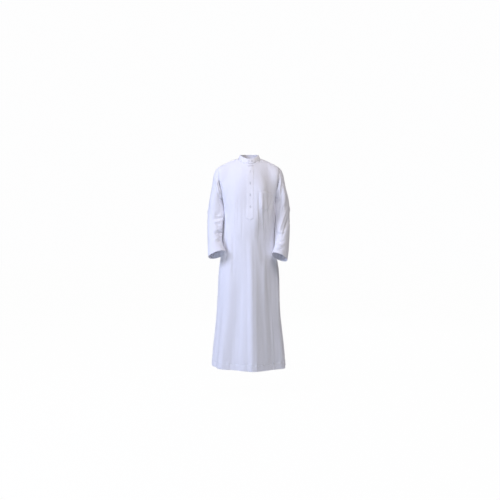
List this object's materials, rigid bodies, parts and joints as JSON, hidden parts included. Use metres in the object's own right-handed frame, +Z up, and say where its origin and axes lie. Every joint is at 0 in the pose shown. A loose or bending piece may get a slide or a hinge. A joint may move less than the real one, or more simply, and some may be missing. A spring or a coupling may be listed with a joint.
{
  "type": "jalabiya",
  "caption": "Long white robe with a stand collar, a buttoned half placket, a breast pocket and long sleeves, filled out as when worn.",
  "frame": {"origin": "the base of the neck, midway between the shoulders that carry the robe", "axes": "+Z up, -Y the front of the robe, +X the wearer's left"},
  "size_m": [0.5336, 0.3657, 1.382],
  "materials": {
    "robe_cloth": "plain woven polyester, matt, bluish white",
    "trim_cloth": "the same cloth, doubled and pressed",
    "button_shell": "pearly white resin"
  },
  "bodies": {
    "root": {"front": "robe_cloth", "back": "robe_cloth", "sleeve_right": "robe_cloth", "sleeve_left": "robe_cloth", "collar": "trim_cloth", "placket": "trim_cloth", "pocket": "trim_cloth", "button_1": "button_shell", "button_2": "button_shell", "button_3": "button_shell", "button_4": "button_shell", "button_collar": "button_shell"}
  },
  "joints": []
}
